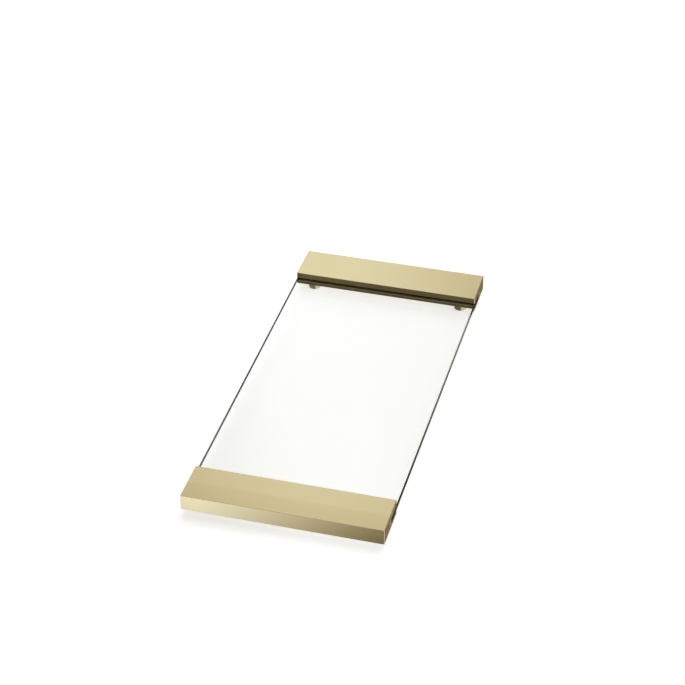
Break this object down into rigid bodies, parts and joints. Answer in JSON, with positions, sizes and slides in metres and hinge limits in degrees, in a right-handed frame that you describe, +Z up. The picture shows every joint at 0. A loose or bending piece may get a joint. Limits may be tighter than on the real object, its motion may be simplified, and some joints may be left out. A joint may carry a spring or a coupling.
{
  "type": "vanity tray",
  "caption": "Low rectangular vanity tray: a clear glass plate with its ends held in slotted, brushed gold metal bars on short round feet, for perfume bottles and small things.",
  "frame": {"origin": "centre of the tray's footprint, on the surface that the pads stand on", "axes": "+X along the bars, +Y from the front bar to the rear bar, +Z up"},
  "size_m": [0.17, 0.38, 0.021],
  "materials": {
    "clear_glass": "clear float glass with polished edges that look dark olive from the side",
    "brushed_brass": "matt pale gold, brushed along the bar",
    "turned_brass": "pale gold, turned and polished",
    "clear_vinyl": "soft translucent glazing strip",
    "stainless_steel": "bright machined stainless steel",
    "pad_silicone": "soft, translucent, slightly matt"
  },
  "bodies": {
    "root": {"glass_plate": "clear_glass", "front_bar": "brushed_brass", "rear_bar": "brushed_brass", "front_gasket": "clear_vinyl", "rear_gasket": "clear_vinyl", "foot_front_left": "turned_brass", "foot_front_right": "turned_brass", "foot_rear_left": "turned_brass", "foot_rear_right": "turned_brass", "foot_screw_front_left": "stainless_steel", "foot_screw_front_right": "stainless_steel", "foot_screw_rear_left": "stainless_steel", "foot_screw_rear_right": "stainless_steel", "foot_pad_front_left": "pad_silicone", "foot_pad_front_right": "pad_silicone", "foot_pad_rear_left": "pad_silicone", "foot_pad_rear_right": "pad_silicone"}
  },
  "joints": []
}
